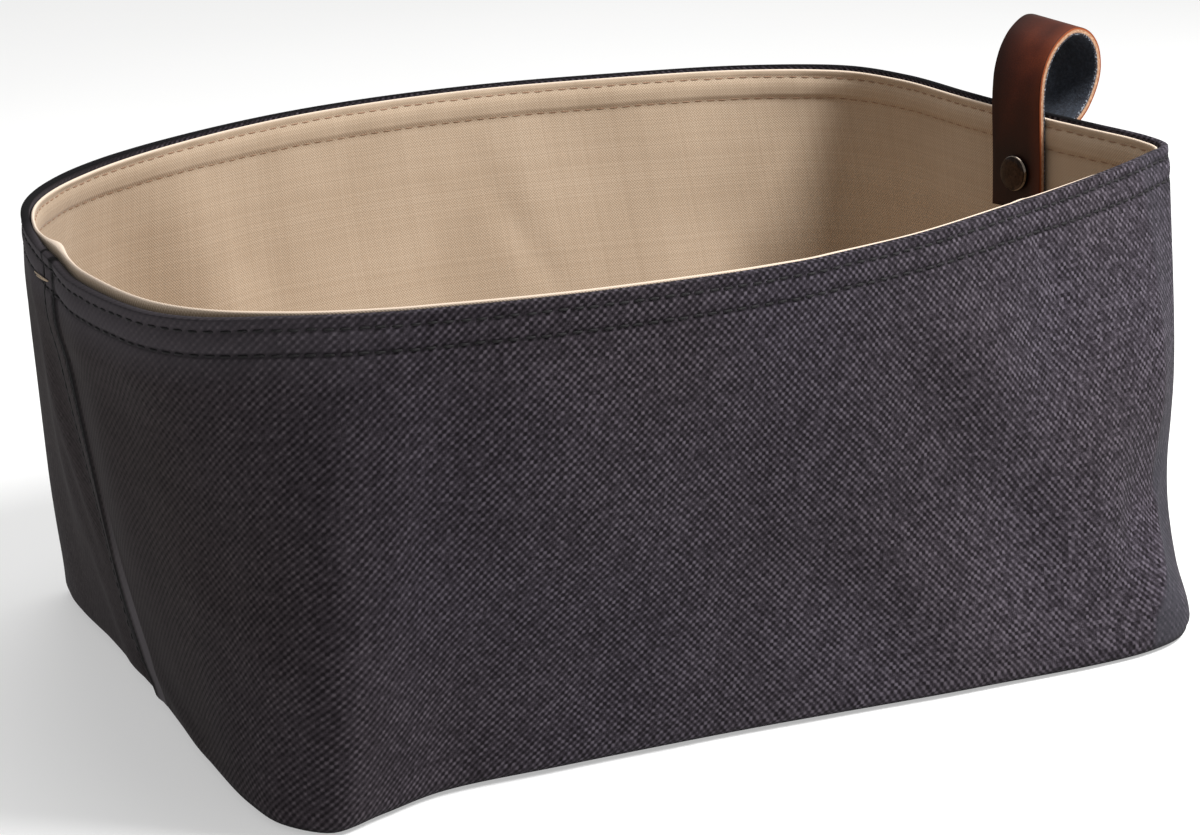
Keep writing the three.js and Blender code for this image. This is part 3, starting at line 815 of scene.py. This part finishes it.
class Shader:
    """A material's nodes, with short names for the maths that the patterns use."""

    def __init__(self, name):
        self.material = bpy.data.materials.new(name)
        self.material.use_nodes = True
        self.tree = self.material.node_tree
        self.tree.nodes.clear()
        self.surface = self.node("BsdfPrincipled")
        self.node("OutputMaterial", self.surface.outputs["BSDF"])

    def put(self, socket, value):
        if isinstance(value, bpy.types.NodeSocket):
            self.tree.links.new(value, socket)
        else:
            socket.default_value = value

    def node(self, kind, *values):
        """A new node whose first inputs are set or linked."""
        node = self.tree.nodes.new("ShaderNode" + kind)
        for socket, value in zip(node.inputs, values):
            self.put(socket, value)
        return node

    def maths(self, kind, *values):
        node = self.node("Math", *values)
        node.operation = kind
        return node.outputs[0]

    def chain(self, kind, values):
        total = values[0]
        for value in values[1:]:
            total = self.maths(kind, total, value)
        return total

    def add(self, *values):
        return self.chain("ADD", values)

    def times(self, *values):
        return self.chain("MULTIPLY", values)

    def most(self, *values):
        return self.chain("MAXIMUM", values)

    def minus(self, a, b):
        return self.maths("SUBTRACT", a, b)

    def apart(self, a, b):
        return self.maths("ABSOLUTE", self.minus(a, b))

    def centred(self, value):
        """A value from 0 to 1 moved to lie about 0."""
        return self.minus(value, 0.5)

    def wave(self, value, pitch):
        """Cosine of a length in millimetres, 1 at every whole pitch."""
        return self.maths("COSINE", self.times(value, 2 * math.pi / pitch))

    def map_range(self, value, low, high, to_low, to_high):
        return self.node("MapRange", value, low, high, to_low, to_high).outputs[0]

    def flat_place(self):
        """The piece's own millimetres along and up from its map, apart and as one vector."""
        node = self.node("UVMap")
        node.uv_map = "cloth_mm"
        split = self.node("SeparateXYZ", node.outputs[0])
        along, up = split.outputs[0], split.outputs[1]
        return along, up, self.joined(along, up)

    def joined(self, x, y, z=0.0):
        return self.node("CombineXYZ", x, y, z).outputs[0]

    def object_place(self):
        return self.node("TexCoord").outputs["Object"]

    def noise(self, vector, size, detail=2.0, rough=0.5):
        """Noise from 0 to 1 whose grain is about size, in the vector's own units."""
        node = self.node("TexNoise", vector)
        node.inputs["Scale"].default_value = 1 / size
        node.inputs["Detail"].default_value = detail
        node.inputs["Roughness"].default_value = rough
        return node.outputs[0]

    def chance(self, value):
        """A random number from 0 to 1 for each whole value."""
        node = self.node("TexWhiteNoise")
        node.noise_dimensions = "1D"
        self.put(node.inputs["W"], self.maths("FLOOR", value))
        return node.outputs[0]

    def cells(self, across, up):
        """A random number from 0 to 1 for each unit square about the whole values."""
        node = self.node("TexWhiteNoise")
        node.noise_dimensions = "2D"
        corner = [self.maths("FLOOR", self.add(value, 0.5)) for value in (across, up)]
        self.put(node.inputs["Vector"], self.joined(*corner))
        return node.outputs[0]

    def ramp(self, value, stops):
        node = self.node("ValToRGB", value)
        elements = node.color_ramp.elements
        while len(elements) < len(stops):
            elements.new(0.5)
        for element, (place, colour) in zip(elements, stops):
            element.position = place
            element.color = (*colour, 1)
        return node.outputs[0]

    def blend(self, share, a, b, kind="MIX"):
        node = self.node("Mix", share)
        node.data_type = "RGBA"
        node.blend_type = kind
        for socket, colour in ((node.inputs[6], a), (node.inputs[7], b)):
            self.put(socket, colour if isinstance(colour, bpy.types.NodeSocket) else (*colour, 1))
        return node.outputs[2]

    def bump(self, height, distance, strength):
        node = self.node("Bump")
        node.inputs["Distance"].default_value = distance * MM
        node.inputs["Strength"].default_value = strength
        self.put(node.inputs["Height"], height)
        return node.outputs[0]

    def line_mask(self, distance, width):
        """1 on a line, out to half of its width, and 0 at width from it."""
        return self.map_range(self.maths("ABSOLUTE", distance), self.times(width, 0.5), width, 1.0, 0.0)

    def from_seam(self, along):
        """Signed distance in millimetres from the nearest side seam."""
        turn = self.maths("MODULO", self.add(along, GIRTH / 4), GIRTH / 2)
        return self.add(turn, -GIRTH / 4)

    def sewn_line_shade(self, along, up):
        """Painted shade in the grooves along the hem's rows, the upper one fainter at the front
        left, and along the rows of the side seams, which swing aside towards their foot."""
        half, strength = HEM_SHADE["half"], HEM_SHADE["strength"]
        upper, lower = (self.line_mask(self.add(up, under - RIM_HEIGHT), half) for under in HEM_ROWS)
        hem = self.most(self.times(upper, self.map_range(along, *UPPER_ROW_CLEARS, 0.2, 1.0)), lower)
        swing = self.map_range(up, *SEAM_SWING["heights"], SEAM_SWING["aside"], 0.0)
        aside = self.minus(self.from_seam(along), swing)
        lines = [self.line_mask(self.add(aside, -line["aside"]), line["half"]) for line in SEAM_SHADE]
        seam = self.times(self.most(*lines), self.map_range(up, 4.0, 10.0, 0.0, 1.0))
        return self.most(self.times(hem, strength), seam)

    def finish(self, colour, roughness, normal=None, **sockets):
        self.put(self.surface.inputs["Base Color"], colour)
        self.put(self.surface.inputs["Roughness"], roughness)
        if normal is not None:
            self.put(self.surface.inputs["Normal"], normal)
        for name, value in sockets.items():
            self.surface.inputs[name.replace("_", " ")].default_value = value
        return self.material


def srgb(red, green, blue):
    """Colour as seen on a screen, 0 to 255, to the linear values of a shader."""
    def linear(value):
        value = value / 255
        return value / 12.92 if value <= 0.04045 else ((value + 0.055) / 1.055) ** 2.4
    return linear(red), linear(green), linear(blue)


# Threads' spacing in the two cloths
CANVAS_THREAD = 1.15
COTTON_THREAD = 0.5

# Stretches of the canvas over which its look changes, in millimetres from a side seam
WEAVE_CLEARS = (30.0, 190.0)
SEAM_TONE_ENDS = (60.0, 140.0)
LINES_TURN = (130.0, 340.0)
LINES_BREAK = (260.0, 400.0)
# Painted light: the tone lifts over this stretch
PAINTED_LIGHT_LIFTS = (290.0, 360.0)
# Painted light: a lighter patch low on the walls between these stretches
PAINTED_LIGHT_LOW_STARTS, PAINTED_LIGHT_LOW_ENDS = (215.0, 275.0), (335.0, 375.0)
UPPER_ROW_CLEARS = (120.0, 420.0)

# The patch of painted sheen past the fold at the near right corner, where the weave is also
# less clear, and the painted highlight line by the left seam: two heights and where they lie
# along the canvas there
PAINTED_SHEEN_FOLD = dict(heights=(12.0, 38.0), along=(387.0, 410.0))
PAINTED_HIGHLIGHT_LINE = dict(heights=(10.0, 52.0), along=(14.0, 9.8))

# Painted shade darkens the rim's crown this far to each side of the middle of the rear wall
REAR_MIDDLE = 713.0
CROWN_SHADE_FADES = (246.0, 268.0)


def canvas_weave(s, along, up, flat, half, from_left):
    """Height of the weave from 0 to 1, how clear it is, where the painted sheen lies, and its slubs."""
    u = s.add(along, s.times(s.centred(s.noise(flat, 30, 2)), 2.2))
    v = s.add(up, s.times(s.centred(s.noise(s.joined(up, along, 9.0), 26, 2)), 2.0))
    across, over = (s.times(value, 1 / CANVAS_THREAD) for value in (u, v))
    lattice = 2 * CANVAS_THREAD
    lean = s.map_range(half, *LINES_TURN, 0.72, 0.28)
    lines = s.add(s.times(s.wave(s.minus(u, v), lattice), lean),
                  s.times(s.wave(s.add(u, v), lattice), s.minus(1.0, lean)))
    broken = s.map_range(s.noise(flat, 6, 2, 0.6), 0.3, 0.7, 0.75, 1.15)
    mixed = s.map_range(half, *LINES_BREAK, 0.0, 1.0)
    weave = s.add(s.times(lines, broken, s.map_range(mixed, 0.0, 1.0, 0.42, 0.3)),
                  s.times(s.centred(s.cells(across, over)), s.map_range(mixed, 0.0, 1.0, 0.3, 0.46)))
    # Past the crisp fold at the near right corner: a patch of painted sheen, where the weave is also drawn
    # less clear
    near, far = PAINTED_SHEEN_FOLD["along"]
    past_fold = s.add(along, s.map_range(up, *PAINTED_SHEEN_FOLD["heights"], -near, -far))
    painted_sheen = s.times(s.map_range(past_fold, -1.5, 1.5, 0.0, 1.0), s.map_range(past_fold, 12.0, 30.0, 1.0, 0.0),
                   s.map_range(up, 55.0, 80.0, 1.0, 0.35))
    clear = s.times(s.map_range(from_left, *WEAVE_CLEARS, 0.25, 0.82), s.map_range(painted_sheen, 0.0, 1.0, 1.0, 0.55))
    fine = s.centred(s.noise(flat, 0.9, 3, 0.6))
    height = s.add(0.5, s.times(s.add(weave, s.times(fine, 0.55)), clear))
    slub = s.times(s.add(s.chance(across), s.chance(s.add(over, 400.0))), 0.02)
    return height, clear, painted_sheen, slub


def canvas_material():
    """Charcoal canvas whose floats line up in slanted lines, rising to the right at the
    start of each long wall and falling near its end."""
    s = Shader("charcoal_canvas")
    along, up, flat = s.flat_place()
    half = s.maths("MODULO", along, GIRTH / 2)
    from_left = s.maths("MINIMUM", along, s.minus(float(GIRTH), along))
    height, clear, painted_sheen, slub = canvas_weave(s, along, up, flat, half, from_left)
    # Painted light: the canvas lightened low on the front, right of its middle, and at the same distance past
    # the right seam on the rear
    painted_light_low = s.times(s.map_range(half, *PAINTED_LIGHT_LOW_STARTS, 0.0, 1.0),
                        s.map_range(half, *PAINTED_LIGHT_LOW_ENDS, 1.0, 0.0), s.map_range(up, 15.0, 70.0, 0.07, 0.0))
    patch = s.times(s.centred(s.noise(flat, 18, 4, 0.6)), 0.13)
    # The tone rises with the weave's clearness towards the right end, partly a clearer weave and partly
    # painted light, and lifts as painted light from 290 to 360 mm past each side seam
    light = s.add(height, slub, patch, s.times(clear, 0.09),
                  s.map_range(half, *PAINTED_LIGHT_LIFTS, -0.03, 0.0), painted_light_low)
    colour = s.ramp(light, [
        (0.0, srgb(9, 6, 9)),
        (0.35, srgb(25, 21, 26)),
        (0.65, srgb(52, 47, 54)),
        (1.0, srgb(92, 86, 95)),
    ])
    warm = s.map_range(s.noise(flat, 90, 1), 0.35, 0.65, 0.0, 1.0)
    colour = s.blend(s.times(warm, 0.4), colour, srgb(235, 228, 215), "MULTIPLY")
    by_seam = s.map_range(from_left, *SEAM_TONE_ENDS, 1.0, 0.0)
    colour = s.blend(by_seam, colour, srgb(255, 252, 230), "MULTIPLY")
    # Painted light: the upper hem near the left seam lightened
    painted_light_hem_left = s.times(by_seam, s.map_range(up, 126.0, 136.0, 0.0, 0.5))
    colour = s.blend(painted_light_hem_left, colour, srgb(72, 68, 73))
    # Painted sheen: the patch past the near right fold is paled towards a bluish grey
    colour = s.blend(s.times(painted_sheen, 0.3), colour, srgb(66, 68, 74))
    # Painted highlight: a pale line beside the left seam, low on the wall, standing in for light on the fold
    # there
    highlight_line_at = s.map_range(up, *PAINTED_HIGHLIGHT_LINE["heights"], *PAINTED_HIGHLIGHT_LINE["along"])
    rubbed_and_painted_highlight = s.times(s.line_mask(s.minus(along, highlight_line_at), s.map_range(up, 5.0, 60.0, 3.6, 2.4)),
                     s.map_range(up, 35.0, 80.0, 0.75, 0.0))
    colour = s.blend(rubbed_and_painted_highlight, colour, srgb(88, 84, 87))
    # Painted shadow: the lowest few millimetres of the cloth, by the floor, darkened almost to black
    colour = s.blend(s.map_range(up, 1.2, 4.2, 0.9, 0.0), colour, srgb(8, 6, 8))
    # Painted shade along the hem's rows and beside the rows of the side seams
    colour = s.blend(s.sewn_line_shade(along, up), colour, srgb(7, 5, 7))
    # Painted shade: the rim's crown darkened almost to black, most along the rear wall
    from_rear = s.apart(along, REAR_MIDDLE)
    crown = s.times(s.map_range(up, RIM_HEIGHT - 1.0, RIM_HEIGHT + 0.3, 0.0, 1.0),
                    s.map_range(from_rear, *CROWN_SHADE_FADES, 1.0, 0.3))
    colour = s.blend(crown, colour, srgb(6, 5, 7))
    bumped = s.bump(s.add(height, s.times(slub, 0.5)), 0.28, 0.9)
    return s.finish(colour, 0.88, bumped, Specular_IOR_Level=0.12)


def cotton_material():
    """Natural cotton: a fine plain weave with slubs, a little uneven in tone."""
    s = Shader("natural_cotton")
    along, up, flat = s.flat_place()
    u = s.add(along, s.times(s.noise(flat, 20, 2), 1.2))
    v = s.add(up, s.times(s.noise(s.joined(up, along, 4.0), 20, 2), 1.2))
    lattice = 2 * COTTON_THREAD
    lines = s.add(s.wave(s.minus(u, v), lattice), s.wave(s.add(u, v), lattice))
    weave = s.add(0.5, s.times(lines, 0.15))
    across, over = (s.times(value, 1 / COTTON_THREAD) for value in (u, v))
    slub = s.add(s.times(s.chance(across), 0.08), s.times(s.chance(s.add(over, 900.0)), 0.1))
    fuzz = s.times(s.centred(s.noise(flat, 0.5, 3, 0.6)), 0.3)
    patch = s.times(s.centred(s.noise(flat, 40, 3)), 0.35)
    light = s.add(weave, slub, fuzz, patch, -0.05)
    stops = [(0.0, srgb(130, 111, 92)), (0.5, srgb(164, 144, 122)), (1.0, srgb(194, 176, 156))]
    colour = s.ramp(light, stops)
    # Painted highlight: the lining's top edge lightened to a pale cream
    edge = s.map_range(up, RIM_HEIGHT - 0.7, RIM_HEIGHT + 0.4, 0.0, 0.8)
    colour = s.blend(edge, colour, srgb(208, 190, 172))
    # Painted shade: a dark line down each side seam of the lining, up to the hem
    seam = s.times(s.line_mask(s.from_seam(along), 1.0), s.map_range(up, 130.0, 136.0, 0.45, 0.0))
    colour = s.blend(seam, colour, srgb(92, 74, 58))
    bumped = s.bump(s.add(weave, slub, fuzz), 0.14, 0.8)
    return s.finish(colour, 0.9, bumped, Sheen_Weight=0.1, Specular_IOR_Level=0.2)


def thread_material(name, dark, light):
    s = Shader(name)
    place = s.object_place()
    tone = s.noise(place, 1.5 * MM, 3, 0.6)
    bumped = s.bump(tone, 0.08, 0.8)
    return s.finish(s.ramp(tone, [(0.3, dark), (0.7, light)]), 0.75, bumped, Specular_IOR_Level=0.3)


def leather_face_material():
    """Dark reddish brown smooth leather with fine grain and faint darker patches, painted shade
    towards its inside end and over its far side, darker across the bend, and painted light by its near edge.
    """
    s = Shader("leather_face")
    along, around, flat = s.flat_place()
    grain = s.noise(flat, 0.6, 4, 0.65)
    cloud = s.noise(flat, 14, 2, 0.5)
    tone = s.add(s.times(cloud, 0.6), s.times(grain, 0.4))
    colour = s.ramp(tone, [(0.3, srgb(52, 18, 7)), (0.5, srgb(78, 31, 15)), (0.7, srgb(106, 48, 26))])
    # Painted shade: darker towards the strap's inside end and over the far side of its face; it is also
    # darker across the bend
    low = s.map_range(along, 18.0, 52.0, 0.88, 0.0)
    far = s.map_range(s.add(around, s.times(cloud, 8.0)), 9.0, 24.0, 0.0, 0.85)
    bend = s.map_range(s.apart(along, 70.0), 4.0, 24.0, 0.6, 0.0)
    dark = s.most(low, far, bend)
    colour = s.blend(dark, colour, srgb(19, 6, 4))
    # Painted light: lighter towards the near edge of the face
    near = s.map_range(around, 0.0, 5.0, 0.25, 0.0)
    colour = s.blend(near, colour, srgb(118, 54, 26))
    rough = s.map_range(cloud, 0.3, 0.7, 0.42, 0.56)
    bumped = s.bump(grain, 0.1, 0.5)
    return s.finish(colour, rough, bumped, Specular_IOR_Level=0.16)


def leather_edge_material():
    """Cut edge of the leather, from its face inwards: a burnt orange line, a tan core and
    dark fibres with pale ends beside the suede."""
    s = Shader("leather_edge")
    along, around, flat = s.flat_place()
    fibre = s.noise(s.joined(s.times(along, 0.5), s.times(around, 3.0)), 0.7, 3, 0.6)
    core = s.ramp(fibre, [(0.3, srgb(118, 76, 50)), (0.7, srgb(196, 160, 130))])
    speck = s.noise(flat, 0.8, 2, 0.6)
    fibres = s.ramp(speck, [(0.5, srgb(40, 38, 42)), (0.68, srgb(140, 147, 156))])
    face_width = LEATHER["width"] - 2 * SOFT_ARRIS
    edge_width = LEATHER["thickness"] - 2 * SOFT_ARRIS + math.pi * SOFT_ARRIS
    starts = (face_width, 2 * (face_width + edge_width))
    depth = s.maths("MINIMUM", *[s.apart(around, start) for start in starts])
    colour = s.blend(s.map_range(depth, 0.9, 1.3, 0.0, 1.0), srgb(128, 62, 26), core)
    colour = s.blend(s.map_range(depth, 1.9, 2.4, 0.0, 1.0), colour, fibres)
    colour = s.blend(s.map_range(depth, 0.3, 0.7, 1.0, 0.0), colour, srgb(62, 26, 13))
    bumped = s.bump(fibre, 0.15, 0.7)
    return s.finish(colour, 0.7, bumped, Specular_IOR_Level=0.15)


def suede_material():
    """Dark blue-black flesh side of the leather, mottled and napped."""
    s = Shader("leather_back")
    _, _, flat = s.flat_place()
    nap = s.noise(flat, 1.4, 3, 0.7)
    cloud = s.noise(flat, 4, 2, 0.6)
    tone = s.add(s.times(nap, 0.7), s.times(cloud, 0.3))
    colour = s.ramp(tone, [(0.36, srgb(45, 47, 53)), (0.5, srgb(56, 60, 68)), (0.64, srgb(67, 73, 83))])
    bumped = s.bump(nap, 0.3, 0.8)
    return s.finish(colour, 0.95, bumped, Specular_IOR_Level=0.2)


def metal_material(name, dark, light):
    """Bronzed metal with fine wear."""
    s = Shader(name)
    place = s.object_place()
    wear = s.noise(place, 0.9 * MM, 3, 0.6)
    colour = s.ramp(wear, [(0.35, dark), (0.65, light)])
    rough = s.map_range(wear, 0.3, 0.7, 0.16, 0.24)
    return s.finish(colour, rough, s.bump(wear, 0.005, 0.3), Metallic=1.0)


def floor_material():
    s = Shader("pale_floor")
    tone = s.noise(s.object_place(), 0.4, 2)
    colour = s.ramp(tone, [(0.3, (0.53, 0.53, 0.525)), (0.7, (0.56, 0.56, 0.555))])
    return s.finish(colour, 0.8, Emission_Color=(1, 1, 1, 1), Emission_Strength=0.42,
                    Specular_IOR_Level=0.1)


def dress(obj, node, slot, *materials):
    """Give a piece its materials, attach it to the root and hide the solid it stands for."""
    for material in materials:
        obj.data.materials.append(material)
    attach(obj, "root")
    if node:
        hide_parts(node)
    return obj


def make_bag():
    canvas, cotton = canvas_material(), cotton_material()
    dark = thread_material("dark_thread", srgb(7, 6, 7), srgb(22, 19, 22))
    brown = thread_material("brown_thread", srgb(118, 88, 68), srgb(150, 120, 96))
    pale = thread_material("pale_thread", srgb(150, 132, 112), srgb(196, 176, 150))
    metal = metal_material("dark_bronze", srgb(36, 29, 26), srgb(60, 49, 43))
    rubbed_and_painted_highlight = metal_material("rubbed_bronze", srgb(118, 108, 98), srgb(146, 134, 122))
    cloth = dress(make_cloth(), "outer_cloth", "twill_cloth", canvas)
    lining = dress(make_lining(), "lining", "cotton_lining", cotton)
    thread = dress(make_outer_thread(), None, "thread", dark)
    inner = dress(make_lining_thread(), None, "lining_thread", brown)
    tack = dress(make_tack(), None, "lining_thread", pale)
    strap, kinds = make_strap()
    dress(strap, "leather_loop", "brown_leather",
          leather_face_material(), leather_edge_material(), suede_material())
    order = ["face", "edge", "back"]
    strap.data.polygons.foreach_set("material_index", [order.index(kind) for kind in kinds])
    post, cap = make_rivet()
    for piece, node in ((post, "rivet_post"), (cap, "rivet_cap")):
        dress(piece, node, "dark_metal", metal, rubbed_and_painted_highlight)
        for face in piece.data.polygons:
            face.material_index = on_shoulder(face.center)


def make_floor():
    size = 6000
    points = [(-size, -size, 0), (size, -size, 0), (size, size, 0), (-size, size, 0)]
    floor = new_mesh("floor", points, [(0, 1, 2, 3)])
    floor.data.materials.append(floor_material())


LIT_POINT = (0, 0, 0.08)


def area_light(name, place, size, power):
    data = bpy.data.lights.new(name, "AREA")
    data.shape = "DISK"
    data.size = size
    data.energy = power
    light = bpy.data.objects.new(name, data)
    light.location = place
    light.rotation_euler = (Vector(LIT_POINT) - Vector(place)).to_track_quat("-Z", "Y").to_euler()
    bpy.context.scene.collection.objects.link(light)


def make_lights():
    area_light("key", (0.54, -0.34, 0.88), 0.4, 18.5)
    area_light("top", (0.1, 0.2, 1.3), 0.8, 6.5)
    world = bpy.data.worlds.new("studio")
    world.use_nodes = True
    colour, strength = world.node_tree.nodes["Background"].inputs[:2]
    colour.default_value = (1, 1, 1, 1)
    strength.default_value = 0.4
    bpy.context.scene.world = world


def make_camera():
    data = bpy.data.cameras.new("photo_camera")
    data.sensor_width = 36
    data.lens = 97.37
    camera = bpy.data.objects.new("photo_camera", data)
    camera.location = (-0.409293, -0.870375, 0.382213)
    camera.rotation_euler = (math.radians(90 - 18.1325), 0, math.radians(-24.9936))
    bpy.context.scene.collection.objects.link(camera)
    bpy.context.scene.camera = camera


bpy.context.scene.view_settings.view_transform = "Standard"
make_camera()
make_bag()
make_floor()
make_lights()
